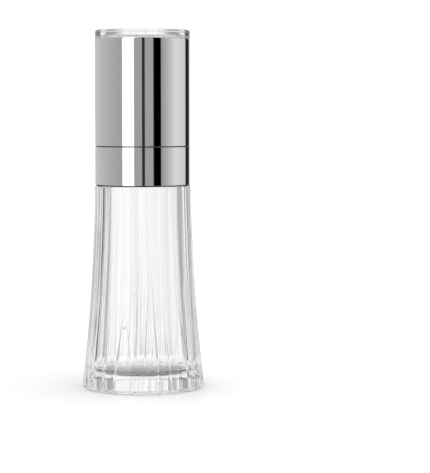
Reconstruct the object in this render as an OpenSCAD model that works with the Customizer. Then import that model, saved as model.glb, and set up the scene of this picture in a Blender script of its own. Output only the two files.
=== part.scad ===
// Pepper mill with the grinder in its head. The clear, pleated container stands on the
// table and the polished steel head twists on it. The mill is turned over to grind, so
// the burrs sit under the lid, and the ground pepper falls out past the setting wheel.
// Millimetres, +Z up, origin at the centre of the container's foot.

/* [Overall] */
// Height of the closed mill
mill_h = 168.5; // [162:0.5:180]
// Diameter of the steel head
head_d = 45; // [45:0.5:46]
// Diameter of the container's foot
foot_d = 58; // [56:0.5:60]

/* [Container] */
// Height of the container up to its shoulder
container_h = 95.7; // [92:0.1:98]
// Height of the neck above the shoulder
neck_h = 14; // [12:0.5:14]
// Outer radius of the neck
neck_r = 20.6; // [20.4:0.1:20.6]
// Radius of the cavity inside the neck
mouth_r = 18.4; // [17.4:0.2:18.4]
// Thickness of the container's floor
floor_t = 7; // [5:0.5:20]
// How sharply the skirt flares towards the foot
flare = 1.7; // [1.5:0.1:2]
// Depth of the fine flutes at the shoulder
flute_top = 0.14; // [0.1:0.01:0.2]
// Depth of the fine flutes at the foot
flute_foot = 0.35; // [0.2:0.05:0.5]

/* [Head] */
// Height of the steel collar ring
collar_h = 17.7; // [17:0.1:19]
// Height of the seam between the collar ring and the turning sleeve
seam_h = 0.5; // [0.3:0.05:0.5]
// Thickness of the lid's disc
lid_t = 4.1; // [4:0.1:5]
// Wall of the steel sleeve and collar ring
steel_t = 0.7; // [0.6:0.05:0.7]

/* [Grinder] */
// Height of the outer burr
burr_h = 14; // [14:0.5:15]
// Outer radius of the outer burr
burr_r = 16; // [16:0.1:16.2]
// Number of teeth on the inner burr
inner_teeth = 20; // [16:1:22]
// Number of teeth on the outer burr
outer_teeth = 24; // [20:1:28]
// Width across the flats of the square shaft
shaft_w = 4.4; // [4.2:0.1:4.4]
// Number of coils in the burr spring
spring_coils = 6; // [5:1:7]

/* [Hidden] */
$fn = 72;

// Clearances
run_gap = 0.08;       // radial gap of a turning fit
shaft_gap = 0.08;     // gap on each flat between the square shaft and what slides on it
shoulder_gap = 0.5;   // between the shoulder and the collar ring, which the gasket fills
gasket_gap = 0.02;    // between the relaxed gasket and the shoulder
burr_gap = 0.45;      // radial gap between the burrs' teeth at the middle setting

// Levels up the mill
z_shoulder = container_h;
z_neck = z_shoulder + neck_h;
z_collar = z_shoulder + shoulder_gap;
z_seam = z_collar + collar_h;
z_head = z_seam + seam_h;
z_rim = mill_h - lid_t;
lip_t = 0.6;
z_lip = z_rim - lip_t;
web_t = 2.8;
z_spider = z_neck + web_t;
spider_t = 4;
z_hub_low = z_spider - 1.2;
z_hub_top = z_spider + spider_t + 2;
retainer_t = 1.6;
z_retainer = z_rim - 7.4;
z_burr = z_retainer - burr_h;
z_fine = z_burr + 9;          // where the coarse teeth of the outer burr end
wheel_t = 3.8;
z_wheel = z_retainer + 0.6;
flange_t = 1.4;
z_cone_top = z_wheel - flange_t;
cone_h = 13;
z_cone = z_cone_top - cone_h;
washer_t = 0.6;
hub_nose = 1.2;
z_washer = z_cone - hub_nose - washer_t;
spring_h = 10.4;
stop_t = 0.8;
z_stop = z_washer - spring_h - stop_t;
clip_t = 0.7;

// Radii through the head
head_r = head_d / 2;
steel_in = head_r - steel_t;
lip_r = head_r - 2.1;
liner_in = lip_r;
journal_r = 18;
journal_in = 15.6;
web_in = 14.4;
socket_r = neck_r + 0.2;
pocket_in = burr_r + 1.5;
boss_at = (pocket_in + liner_in) / 2;
boss_r = (liner_in - pocket_in) / 2 + 0.25;
boss_count = 3;
screw_r = 0.7;

// Container
foot_r = foot_d / 2;
shoulder_r = head_r + 0.25;
key_w = 4;
key_h = 5;
key_count = 3;
key_out = neck_r + 0.6;
seal_z = z_shoulder + 7.8;
seal_slot = 1.3;
seal_deep = 0.85;
seal_wire = 0.45;

// Pleats run round the skirt in units of four sectors, each with its own width, depth
// and height at which its lancet cut runs out.
pleat_units = 6;
pleat_w = [20, 10, 15, 15];
pleat_depth = [0.75, 0.35, 0.6, 0.45];
pleat_reach = [0.42, 0.82, 0.6, 0.32];
pleat_levels = [0, 0.0125, 0.06, 0.125, 0.2, 0.28, 0.375, 0.48, 0.6, 0.74, 0.875, 0.992, 1];
foot_chamfer = 1.2;

// Burrs
cone_r0 = 6.9;
cone_r1 = 12.3;
cone_slope = (cone_r1 - cone_r0) / cone_h;
cone_tooth = 0.4;
coarse_r0 = 12.1;
coarse_r1 = cone_r0 + cone_slope * (z_fine - z_cone) + burr_gap;
coarse_tooth = 0.9;
fine_r1 = cone_r0 + cone_slope * (z_retainer - z_cone) + burr_gap;
fine_tooth = 0.35;
hub_r = 5;
hub_key_w = 1.6;
hub_key_out = 5.6;
thread_r = 2;
clip_r = 2.5;
nut_r = 4.04;                 // corner radius of a nut 7 mm across its flats

// ---- functions ----

function sum_to(list, n) = n == 0 ? 0 : list[n - 1] + sum_to(list, n - 1);

// Radius of the skirt's envelope at height z
function skirt_r(z) = shoulder_r + (foot_r - shoulder_r) * pow(1 - z / container_h, flare);

// How far the foot's and the shoulder's edges are drawn in
function edge_in(t) = t == 0 ? foot_chamfer : t == 1 ? 0.8 : 0;

function flute(t) = flute_foot + (flute_top - flute_foot) * pow(t, 0.6);

// Share, from 1 at the foot to 0 at its tip, that is left of sector k's lancet at height share t
function lancet(k, t) = max(0, 1 - t / pleat_reach[k]);

// Ring of points round the skirt at height share t: ridge, lancet edge, middle, lancet edge
function pleat_ring(t) = [
    for (u = [0 : pleat_units - 1], k = [0 : len(pleat_w) - 1])
        let (
            r = skirt_r(t * container_h) - edge_in(t),
            start = u * 360 / pleat_units + sum_to(pleat_w, k),
            half = pleat_w[k] / 2,
            left = lancet(k, t),
            open = half * (0.1 + 0.6 * left),
            edge = flute(t) * (0.9 - 0.3 * left) + pleat_depth[k] * left * 0.8,
            middle = flute(t) + pleat_depth[k] * left,
            shape = [[0, 0], [half - open, edge], [half, middle], [half + open, edge]]
        )
        for (p = shape)
            [(r - p[1]) * cos(start + p[0]), (r - p[1]) * sin(start + p[0]), t * container_h]
];

// Star outline of a burr: teeth points out to r, and valleys r - depth
function star(teeth, r, depth) = [
    for (i = [0 : 2 * teeth - 1])
        let (a = 180 * i / teeth, q = i % 2 == 0 ? r : r - depth)
        [q * cos(a), q * sin(a)]
];

// Arc of points, for rounded corners in a turned profile
function arc(cx, cy, r, a0, a1, n = 6) = [
    for (i = [0 : n]) let (a = a0 + (a1 - a0) * i / n) [cx + r * cos(a), cy + r * sin(a)]
];

// ---- helpers ----

module turned(profile) {
    rotate_extrude() polygon(profile);
}

module ring(r_out, r_in, z0, z1) {
    turned([[r_in, z0], [r_out, z0], [r_out, z1], [r_in, z1]]);
}

module rod(r, z0, z1) {
    translate([0, 0, z0]) cylinder(r = r, h = z1 - z0);
}

module o_ring(r, wire, z) {
    translate([0, 0, z]) rotate_extrude() translate([r, 0]) circle(r = wire, $fn = 24);
}

module around(count, r = 0, start = 0) {
    for (i = [0 : count - 1]) rotate([0, 0, start + i * 360 / count]) translate([r, 0, 0]) children();
}

// Keys of the neck, or with a gap the slots that they slide in
module neck_keys(gap = 0) {
    around(key_count)
        translate([neck_r - 1, -key_w / 2 - gap, z_shoulder - 0.5])
            cube([key_out - neck_r + 1 + gap, key_w + 2 * gap, key_h + 0.5 + gap]);
}

// Square bar through the burr's hub, of the shaft's size plus a gap on each flat
module square_bar(z0, z1, gap = 0) {
    w = shaft_w + 2 * gap;
    translate([-w / 2, -w / 2, z0]) cube([w, w, z1 - z0]);
}

module hex_bar(z0, z1) {
    translate([0, 0, z0]) cylinder(r = nut_r, h = z1 - z0, $fn = 6);
}

// ---- container ----

module pleated_skirt() {
    rings = [for (t = pleat_levels) pleat_ring(t)];
    n = len(rings[0]);
    levels = len(rings);
    points = [for (r = rings) each r, [0, 0, 0], [0, 0, container_h]];
    sides = [
        for (k = [0 : levels - 2], i = [0 : n - 1])
            let (a = k * n + i, b = k * n + (i + 1) % n)
            each [[a, a + n, b], [b, a + n, b + n]]
    ];
    foot = [for (i = [0 : n - 1]) [i, (i + 1) % n, levels * n]];
    top = [for (i = [0 : n - 1]) [(levels - 1) * n + i, levels * n + 1, (levels - 1) * n + (i + 1) % n]];
    polyhedron(points = points, faces = concat(sides, foot, top));
}

// Space for the peppercorns: straight in the neck, then widening with the skirt to a rounded floor
module cavity() {
    wall = shoulder_r - mouth_r;
    corner = 6;
    low = floor_t + corner;
    low_r = skirt_r(low) - wall;
    turned(concat(
        [[0, floor_t], [low_r - corner, floor_t]],
        arc(low_r - corner, low, corner, -80, -10, 6),
        [for (i = [1 : 6]) let (z = low + (z_shoulder - low) * i / 6) [skirt_r(z) - wall, z]],
        [[mouth_r, z_neck + 1], [0, z_neck + 1]]
    ));
}

module container() {
    punt_r = 22;
    color("whitesmoke", 0.4)
        difference() {
            union() {
                pleated_skirt();
                rod(neck_r, z_shoulder - 2, z_neck);
                neck_keys();
            }
            cavity();
            ring(neck_r + 1, neck_r - seal_deep, seal_z - seal_slot / 2, seal_z + seal_slot / 2);
            translate([0, 0, -1]) cylinder(r = punt_r, h = 2);
        }
}

module neck_seal() {
    color("gainsboro") o_ring(neck_r - seal_deep + 0.05 + seal_wire, seal_wire, seal_z);
}

// ---- collar: the ring that the head turns on ----

module collar_ring() {
    lip = 0.5;
    bevel = 0.25;
    color("silver")
        turned([
            [steel_in - lip, z_collar], [head_r - bevel, z_collar], [head_r, z_collar + bevel],
            [head_r, z_seam - bevel], [head_r - bevel, z_seam], [steel_in, z_seam],
            [steel_in, z_collar + lip_t], [steel_in - lip, z_collar + lip_t]
        ]);
}

// Flat ring between the collar and the container's shoulder
module collar_gasket() {
    color("dimgray") ring(head_r - 0.5, key_out + 0.3, z_shoulder + gasket_gap, z_collar);
}

module collar_core() {
    journal_top = z_head + 6.4;
    clip_z = z_head + 3.7;
    color("white")
        difference() {
            turned([
                [socket_r, z_collar + lip_t], [steel_in, z_collar + lip_t], [steel_in, z_seam],
                [journal_r, z_seam], [journal_r, clip_z], [journal_r - 0.7, clip_z],
                [journal_r - 0.7, clip_z + 1], [journal_r, clip_z + 1], [journal_r, journal_top - 0.4],
                [journal_r - 0.4, journal_top], [journal_in, journal_top], [journal_in, z_spider],
                [web_in, z_spider], [web_in, z_neck], [socket_r, z_neck]
            ]);
            neck_keys(0.2);
        }
}

module slide_ring() {
    color("dimgray") ring(head_r - 0.45, journal_r + 0.4, z_seam, z_head);
}

// Three arms hold the square shaft in the middle of the pepper's way
module shaft_spider() {
    arm_w = 2.6;
    hub_out = 4.8;
    color("gainsboro")
        difference() {
            union() {
                ring(journal_in, journal_in - 1.5, z_spider, z_spider + spider_t);
                rod(hub_out, z_hub_low, z_hub_top);
                around(3, start = 60)
                    translate([hub_out - 1, -arm_w / 2, z_spider])
                        cube([journal_in - hub_out - 0.2, arm_w, spider_t]);
            }
            square_bar(z_hub_low - 1, z_hub_top + 1);
        }
}

// Square shaft: its shoulder rests on the spider's hub, and a thread at each end takes a nut
module grinder_shaft() {
    shoulder = 3.8;
    color("silver")
        difference() {
            union() {
                square_bar(z_hub_low, z_wheel - 0.7);
                rod(shoulder, z_hub_top, z_hub_top + 0.8);
                rod(thread_r, z_hub_low - 4, z_hub_low + 1);
                rod(thread_r, z_wheel - 1, z_wheel + 3);
            }
            ring(shaft_w, clip_r, z_stop - clip_t, z_stop);
        }
}

module shaft_nut() {
    nut_h = 3.2;
    color("silver")
        difference() {
            hex_bar(z_hub_low - nut_h, z_hub_low);
            rod(thread_r, z_hub_low - 5, z_hub_low + 1);
        }
}

// Snap ring in the journal's groove, which keeps the head on the collar
module head_circlip() {
    gap_w = 5;
    color("darkgray")
        difference() {
            ring(journal_r + 1.4, journal_r - 0.7, z_head + 3.7, z_head + 4.7);
            translate([0, -gap_w / 2, z_head + 3]) cube([journal_r + 3, gap_w, 3]);
        }
}

// Clip in the shaft's groove, under the washer that the spring stands on
module stop_clip() {
    gap_w = 3;
    color("darkgray")
        difference() {
            ring(clip_r + 2, clip_r, z_stop - clip_t, z_stop);
            translate([0, -gap_w / 2, z_stop - 2]) cube([8, gap_w, 3]);
        }
}

module spring_stop() {
    color("silver")
        difference() {
            rod(5.6, z_stop, z_stop + stop_t);
            square_bar(z_stop - 1, z_stop + 2);
        }
}

// ---- inner burr, which slides on the shaft as the setting is turned ----

// Compression spring: one polyhedron swept along a helix whose end coils lie flat
module burr_spring() {
    coil_r = 4.3;
    wire = 0.38;
    sides = 6;
    steps = 20;
    n = spring_coils * steps;
    rest_gap = 0.02;
    low = z_stop + stop_t + rest_gap + wire;
    rise = spring_h - 2 * (wire + rest_gap);
    flat = 0.09;   // share of the spring's height that its first and its last coil take
    function climb(s) = let (e = 1 / spring_coils)
        s < e ? flat * s / e
        : s > 1 - e ? 1 - flat * (1 - s) / e
        : flat + (1 - 2 * flat) * (s - e) / (1 - 2 * e);
    points = [
        for (i = [0 : n]) let (s = i / n, a = 360 * spring_coils * s, z = low + rise * climb(s))
            for (j = [0 : sides - 1]) let (b = 360 * j / sides + 30, r = coil_r + wire * cos(b))
                [r * cos(a), r * sin(a), z + wire * sin(b)]
    ];
    skin = [
        for (i = [0 : n - 1], j = [0 : sides - 1])
            let (a = i * sides + j, b = i * sides + (j + 1) % sides)
            each [[a, b, a + sides], [b, b + sides, a + sides]]
    ];
    ends = [[for (j = [sides - 1 : -1 : 0]) j], [for (j = [0 : sides - 1]) n * sides + j]];
    color("silver") polyhedron(points = points, faces = concat(skin, ends));
}

module thrust_washer() {
    color("silver") ring(5.6, 3.35, z_washer, z_washer + washer_t);
}

module hub_keys(gap = 0) {
    around(2)
        translate([hub_r - 1, -hub_key_w / 2 - gap, z_cone - 1])
            cube([hub_key_out - hub_r + 1 + gap, hub_key_w + 2 * gap, cone_h + 1]);
}

module inner_burr() {
    color("ivory")
        difference() {
            translate([0, 0, z_cone])
                linear_extrude(height = cone_h, twist = -34, scale = cone_r1 / cone_r0, slices = 7)
                    polygon(star(inner_teeth, cone_r0, cone_tooth));
            rod(hub_r, z_cone - 1, z_cone_top + 1);
            hub_keys();
        }
}

module burr_hub() {
    color("dimgray")
        difference() {
            union() {
                rod(hub_r, z_cone - hub_nose, z_cone_top + 0.1);
                intersection() {
                    hub_keys();
                    rod(hub_key_out + 1, z_cone, z_cone_top);
                }
                rod(8, z_cone_top, z_wheel);
            }
            square_bar(z_cone - 3, z_wheel + 1, shaft_gap);
        }
}

// Grind-size wheel: screwed in, it presses the inner burr down into the outer one
module setting_wheel() {
    wheel_r = 9;
    grips = 16;
    color("dimgray")
        difference() {
            turned([
                [0, z_wheel], [wheel_r - 0.4, z_wheel], [wheel_r, z_wheel + 0.4],
                [wheel_r, z_wheel + wheel_t - 0.6], [wheel_r - 0.6, z_wheel + wheel_t],
                [0, z_wheel + wheel_t]
            ]);
            around(grips, wheel_r + 0.5) rod(1.15, z_wheel - 1, z_wheel + wheel_t + 1);
            hex_bar(z_wheel + 1, z_wheel + wheel_t + 1);
            rod(2.3, z_wheel - 1, z_wheel + 2);
            translate([6.6, 0, 0]) rod(0.7, z_wheel + wheel_t - 0.5, z_wheel + wheel_t + 1);
        }
}

module setting_nut() {
    color("gold")
        difference() {
            hex_bar(z_wheel + 1, z_wheel + 3.4);
            rod(thread_r + 0.06, z_wheel, z_wheel + 5);
        }
}

// ---- head: the half that is turned ----

module head_sleeve() {
    bevel = 0.25;
    top_round = 0.5;
    color("silver")
        turned(concat(
            [[steel_in, z_head], [head_r - bevel, z_head], [head_r, z_head + bevel]],
            arc(head_r - top_round, z_rim - top_round, top_round, 0, 90, 4),
            [[lip_r, z_rim], [lip_r, z_lip], [steel_in, z_lip]]
        ));
}

// Moulded liner: runs on the collar's journal, funnels the pepper and seats the outer burr
module head_liner() {
    skin_t = 1.5;
    shelf_r = 12.6;
    funnel_z = z_burr - 8.6;
    flange_z = z_head + 3.6;
    color("dimgray")
        difference() {
            union() {
                turned([
                    [journal_r + run_gap, z_head], [steel_in, z_head], [steel_in, z_lip],
                    [liner_in, z_lip], [liner_in, funnel_z + 2.2], [pocket_in, funnel_z + 5.4],
                    [pocket_in, z_retainer], [burr_r, z_retainer], [burr_r, z_burr],
                    [shelf_r, z_burr], [shelf_r, z_burr - skin_t], [liner_in, funnel_z],
                    [liner_in, flange_z], [journal_r + run_gap, flange_z]
                ]);
                around(boss_count, boss_at, 30) rod(boss_r, z_burr + 1, z_retainer);
            }
            around(boss_count, boss_at, 30) rod(screw_r, z_retainer - 7, z_retainer + 1);
        }
}

module outer_burr() {
    coarse_h = z_fine - z_burr;
    fine_h = z_retainer - z_fine;
    color("ivory")
        difference() {
            rod(burr_r, z_burr, z_retainer);
            translate([0, 0, z_burr])
                linear_extrude(height = coarse_h, twist = 16, scale = coarse_r1 / coarse_r0, slices = 4)
                    polygon(star(outer_teeth, coarse_r0 + coarse_tooth, coarse_tooth));
            translate([0, 0, z_fine])
                linear_extrude(height = fine_h, twist = 8, scale = fine_r1 / coarse_r1, slices = 3)
                    polygon(star(outer_teeth, coarse_r1 + fine_tooth, fine_tooth));
        }
}

module burr_retainer() {
    inner = 13.4;
    color("dimgray")
        difference() {
            turned([
                [inner + 0.5, z_retainer], [liner_in - 0.1, z_retainer],
                [liner_in - 0.1, z_retainer + retainer_t], [inner, z_retainer + retainer_t],
                [inner, z_retainer + 0.5]
            ]);
            around(boss_count, boss_at, 30) rod(screw_r + 0.1, z_retainer - 1, z_retainer + 3);
        }
}

module retainer_screws() {
    head_z = z_retainer + retainer_t;
    color("silver")
        around(boss_count, boss_at, 30)
            difference() {
                union() {
                    rod(screw_r, head_z - 6, head_z + 0.1);
                    rod(1.35, head_z, head_z + 1);
                }
                translate([-1.5, -0.2, head_z + 0.6]) cube([3, 0.4, 1]);
            }
}

// ---- lid ----

module lid() {
    disc_r = head_r - 0.2;
    edge = 1;
    plug_out = lip_r - 0.5;
    plug_in = plug_out - 1.5;
    plug_z = z_rim - 3.8;
    slot = 0.55;
    slot_z = z_rim - 2.6;
    color("whitesmoke", 0.4)
        turned(concat(
            [
                [0, z_rim + 1.4], [plug_in - 0.6, z_rim + 1.4], [plug_in, z_rim + 0.8],
                [plug_in, plug_z], [plug_out - 0.3, plug_z], [plug_out, plug_z + 0.3],
                [plug_out, slot_z], [plug_out - slot, slot_z], [plug_out - slot, slot_z + 1.2],
                [plug_out, slot_z + 1.2], [plug_out, z_rim], [disc_r - 0.5, z_rim], [disc_r, z_rim + 0.5]
            ],
            arc(disc_r - edge, mill_h - edge, edge, 0, 90, 5),
            [[0, mill_h]]
        ));
}

module lid_seal() {
    wire = 0.45;
    color("gainsboro") o_ring(lip_r - 0.05 - wire, wire, z_rim - 2);
}

container();
neck_seal();
collar_gasket();
collar_ring();
collar_core();
slide_ring();
shaft_spider();
grinder_shaft();
shaft_nut();
head_circlip();
stop_clip();
spring_stop();
burr_spring();
thrust_washer();
inner_burr();
burr_hub();
setting_wheel();
setting_nut();
head_sleeve();
head_liner();
outer_burr();
burr_retainer();
retainer_screws();
lid();
lid_seal();
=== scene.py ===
import math

import bmesh
import bpy
from mathutils import Matrix, Vector


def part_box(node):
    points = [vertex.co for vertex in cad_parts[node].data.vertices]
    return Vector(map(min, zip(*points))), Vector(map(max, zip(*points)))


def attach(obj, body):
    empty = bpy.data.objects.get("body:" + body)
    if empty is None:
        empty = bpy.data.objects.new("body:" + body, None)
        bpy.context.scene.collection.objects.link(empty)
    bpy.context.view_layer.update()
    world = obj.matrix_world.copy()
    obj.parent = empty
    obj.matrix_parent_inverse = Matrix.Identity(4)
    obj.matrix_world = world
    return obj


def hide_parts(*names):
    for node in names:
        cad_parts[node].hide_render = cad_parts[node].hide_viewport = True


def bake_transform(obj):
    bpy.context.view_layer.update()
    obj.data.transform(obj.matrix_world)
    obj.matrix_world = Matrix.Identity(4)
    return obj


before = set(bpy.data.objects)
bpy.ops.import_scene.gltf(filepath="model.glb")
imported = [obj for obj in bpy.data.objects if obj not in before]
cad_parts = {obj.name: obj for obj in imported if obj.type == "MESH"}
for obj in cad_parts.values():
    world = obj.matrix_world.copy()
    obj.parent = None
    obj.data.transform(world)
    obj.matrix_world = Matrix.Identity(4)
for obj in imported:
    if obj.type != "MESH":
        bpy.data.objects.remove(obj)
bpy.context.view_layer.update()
mm = 0.001  # sizes below are in millimetres, apart from the studio's


# Outer radius and lowest and highest level of a turned node, in millimetres
def span(node):
    low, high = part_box(node)
    return {
        "r": round(high.x / mm, 3),
        "low": round(low.z / mm, 3),
        "high": round(high.z / mm, 3),
    }


sleeveSpan = span("head_sleeve")
collarSpan = span("collar_ring")
lidSpan = span("lid")
containerSpan = span("container")


# Joins rings of points with quads; a ring of one point is a pole
def loft(name, rings, closed=False):
    points = []
    starts = []
    for ring in rings:
        starts.append(len(points))
        points.extend(ring)
    pairs = [(i, i + 1) for i in range(len(rings) - 1)]
    if closed:
        pairs.append((len(rings) - 1, 0))
    faces = []
    for a, b in pairs:
        sizeA = len(rings[a])
        sizeB = len(rings[b])
        around = max(sizeA, sizeB)
        for k in range(around):
            n = (k + 1) % around
            corners = [
                starts[a] + k % sizeA,
                starts[a] + n % sizeA,
                starts[b] + n % sizeB,
                starts[b] + k % sizeB,
            ]
            face = list(dict.fromkeys(corners))
            if len(face) > 2:
                faces.append(face)
    mesh = bpy.data.meshes.new(name)
    mesh.from_pydata([Vector(p) * mm for p in points], [], faces)
    return mesh


# Rounds the corners of an outline of (radius, level, fillet) points, and puts a hold point beside
# each fillet, which keeps the shading of the flats clean
def softOutline(corners, steps=5, hold=0.04):
    most = 0.45  # share of a side that one fillet may take
    points = []
    for i, (r, z, fillet) in enumerate(corners):
        here = Vector((r, z))
        if fillet == 0:
            points.append(here)
            continue
        before = Vector(corners[i - 1][:2]) - here
        after = Vector(corners[(i + 1) % len(corners)][:2]) - here
        half = before.angle(after) / 2
        back = min(fillet / math.tan(half), before.length * most, after.length * most)
        start = here + before.normalized() * back
        stop = here + after.normalized() * back
        points.append(start + before.normalized() * hold)
        for k in range(steps + 1):
            t = k / steps
            points.append(start * (1 - t) ** 2 + here * 2 * t * (1 - t) + stop * t**2)
        points.append(stop + after.normalized() * hold)
    return points


# Turns an outline of (radius, level) points about the mill's axis
def spin(name, outline, segments=192, closed=True):
    rings = []
    for r, z in outline:
        if r < 1e-6:
            rings.append([(0, 0, z)])
            continue
        turns = [2 * math.pi * k / segments for k in range(segments)]
        rings.append([(r * math.cos(a), r * math.sin(a), z) for a in turns])
    return loft(name, rings, closed)


# Makes the mesh a piece of the object: normals out, smooth faces with crisp creases, a material,
# a body, and hides the node that it stands for
def addPiece(name, mesh, material, body, stands=(), slot=None, crease=30):
    work = bmesh.new()
    work.from_mesh(mesh)
    bmesh.ops.remove_doubles(work, verts=work.verts, dist=1e-7)
    bmesh.ops.recalc_face_normals(work, faces=work.faces)
    work.to_mesh(mesh)
    work.free()
    for face in mesh.polygons:
        face.use_smooth = True
    mesh.set_sharp_from_angle(angle=math.radians(crease))
    mesh.materials.append(material)
    piece = bpy.data.objects.new(name, mesh)
    bpy.context.scene.collection.objects.link(piece)
    if body:
        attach(piece, body)
    if stands:
        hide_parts(*stands)
    return piece


# An empty shader group with (label, kind, value) inputs and (label, kind) outputs
def newGroup(name, inputs, outputs):
    tree = bpy.data.node_groups.new(name, "ShaderNodeTree")
    for label, kind, value in inputs:
        socket = tree.interface.new_socket(label, in_out="INPUT", socket_type=kind)
        if value is not None:
            socket.default_value = value
    for label, kind in outputs:
        tree.interface.new_socket(label, in_out="OUTPUT", socket_type=kind)
    start = tree.nodes.new("NodeGroupInput")
    end = tree.nodes.new("NodeGroupOutput")
    start.location = (-900, 0)
    end.location = (600, 0)
    return tree, start, end


def addNode(tree, kind, x, y, **values):
    node = tree.nodes.new(kind)
    node.location = (x, y)
    for key, value in values.items():
        if hasattr(node, key):
            setattr(node, key, value)
        else:
            node.inputs[key.replace("_", " ")].default_value = value
    return node


# Makes a link for each (output socket, input socket) row
def connect(tree, *rows):
    for output, entry in rows:
        tree.links.new(output, entry)


# A maths node on a socket, and on a plain number or a second socket
def calculate(tree, x, y, operation, first, second=None):
    node = addNode(tree, "ShaderNodeMath", x, y, operation=operation)
    tree.links.new(first, node.inputs[0])
    if isinstance(second, (int, float)):
        node.inputs[1].default_value = second
    elif second is not None:
        tree.links.new(second, node.inputs[1])
    return node.outputs["Value"]


# Spreads a socket's (low, high) range over another range
def spreadRange(tree, x, y, value, fromRange=(0, 1), toRange=(0, 1)):
    node = addNode(tree, "ShaderNodeMapRange", x, y)
    node.inputs["From Min"].default_value = fromRange[0]
    node.inputs["From Max"].default_value = fromRange[1]
    node.inputs["To Min"].default_value = toRange[0]
    node.inputs["To Max"].default_value = toRange[1]
    tree.links.new(value, node.inputs["Value"])
    return node.outputs["Result"]


# The colour sockets of a Mix node, which also has sockets of the same names for other values
def colourSockets(sockets):
    return [s for s in sockets if s.type == "RGBA"]


# Mixes from the first colour to the second; each is a socket or a plain (red, green, blue)
def mixColours(tree, x, y, share, first, second):
    mix = addNode(tree, "ShaderNodeMix", x, y, data_type="RGBA")
    tree.links.new(share, mix.inputs["Factor"])
    for colour, socket in zip((first, second), colourSockets(mix.inputs)):
        if isinstance(colour, tuple):
            socket.default_value = (*colour, 1)
        else:
            tree.links.new(colour, socket)
    return colourSockets(mix.outputs)[0]


# Fine sand-like texture of a moulding tool, and cloudy patches where it is more or less worn smooth
def makeMouldGrain():
    number = "NodeSocketFloat"
    tree, start, end = newGroup(
        "mouldGrain",
        [("Grain Scale", number, 2500.0), ("Patch Scale", number, 60.0)],
        [("Height", number), ("Patches", number)],
    )
    place = addNode(tree, "ShaderNodeTexCoord", -700, -200)
    grain = addNode(tree, "ShaderNodeTexNoise", -400, 150, Detail=3.0, Roughness=0.6)
    patches = addNode(tree, "ShaderNodeTexNoise", -400, -200, Detail=4.0, Roughness=0.5)
    connect(
        tree,
        (place.outputs["Object"], grain.inputs["Vector"]),
        (place.outputs["Object"], patches.inputs["Vector"]),
        (start.outputs["Grain Scale"], grain.inputs["Scale"]),
        (start.outputs["Patch Scale"], patches.inputs["Scale"]),
        (grain.outputs["Fac"], end.inputs["Height"]),
        (patches.outputs["Fac"], end.inputs["Patches"]),
    )
    return tree


# Faint rings left by turning or buffing, which run round the mill's axis
def makeTurnedRings():
    number = "NodeSocketFloat"
    tree, start, end = newGroup(
        "turnedRings",
        [("Ring Scale", number, 3000.0), ("Break Up", number, 0.15)],
        [("Height", number), ("Rings", number)],
    )
    place = addNode(tree, "ShaderNodeTexCoord", -880, -250)
    split = addNode(tree, "ShaderNodeSeparateXYZ", -700, -250)
    across = addNode(tree, "ShaderNodeVectorMath", -700, -60, operation="MULTIPLY")
    across.inputs[1].default_value = (1, 1, 0)
    radius = addNode(tree, "ShaderNodeVectorMath", -520, -60, operation="LENGTH")
    lanes = addNode(tree, "ShaderNodeCombineXYZ", -350, -100)
    spread = addNode(tree, "ShaderNodeVectorMath", -180, -100, operation="SCALE")
    rings = addNode(tree, "ShaderNodeTexNoise", 0, -60, Scale=1.0, Detail=2.0)
    cloud = addNode(tree, "ShaderNodeTexNoise", -180, -350, Scale=90.0, Detail=3.0)
    mix = addNode(tree, "ShaderNodeMath", 200, -150, operation="MULTIPLY_ADD")
    connect(
        tree,
        (place.outputs["Object"], split.inputs[0]),
        (place.outputs["Object"], across.inputs[0]),
        (place.outputs["Object"], cloud.inputs["Vector"]),
        (across.outputs["Vector"], radius.inputs[0]),
        (radius.outputs["Value"], lanes.inputs["X"]),
        (split.outputs["Z"], lanes.inputs["Y"]),
        (lanes.outputs["Vector"], spread.inputs[0]),
        (start.outputs["Ring Scale"], spread.inputs["Scale"]),
        (spread.outputs["Vector"], rings.inputs["Vector"]),
        (cloud.outputs["Fac"], mix.inputs[0]),
        (start.outputs["Break Up"], mix.inputs[1]),
        (rings.outputs["Fac"], mix.inputs[2]),
        (rings.outputs["Fac"], end.inputs["Height"]),
        (mix.outputs["Value"], end.inputs["Rings"]),
    )
    return tree


# Light marks of use: soft smears from fingers and a scatter of fine dust
def makeHandling():
    number = "NodeSocketFloat"
    tree, start, end = newGroup(
        "handling",
        [("Smear Scale", number, 45.0), ("Dust Scale", number, 900.0)],
        [("Smears", number), ("Dust", number)],
    )
    place = addNode(tree, "ShaderNodeTexCoord", -880, 0)
    smears = addNode(tree, "ShaderNodeTexNoise", -500, 150, Detail=5.0, Roughness=0.62,
                     Distortion=0.8)
    dust = addNode(tree, "ShaderNodeTexVoronoi", -500, -200)
    soft = spreadRange(tree, -250, 150, smears.outputs["Fac"], (0.48, 0.72))
    specks = spreadRange(tree, -250, -200, dust.outputs["Distance"], (0.12, 0.05))
    connect(
        tree,
        (place.outputs["Object"], smears.inputs["Vector"]),
        (place.outputs["Object"], dust.inputs["Vector"]),
        (start.outputs["Smear Scale"], smears.inputs["Scale"]),
        (start.outputs["Dust Scale"], dust.inputs["Scale"]),
        (soft, end.inputs["Smears"]),
        (specks, end.inputs["Dust"]),
    )
    return tree


mouldGrain = makeMouldGrain()
turnedRings = makeTurnedRings()
handling = makeHandling()
print("shader groups built")


# A Principled material with its plain values on the shader's own sockets
def newMaterial(name, colour, roughness, metallic=0.0):
    material = bpy.data.materials.new(name)
    material.use_nodes = True
    material.diffuse_color = (*colour, 1)  # the colour in the viewport
    tree = material.node_tree
    shader = tree.nodes["Principled BSDF"]
    shader.inputs["Base Color"].default_value = (*colour, 1)
    shader.inputs["Roughness"].default_value = roughness
    shader.inputs["Metallic"].default_value = metallic
    return material, tree, shader


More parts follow.
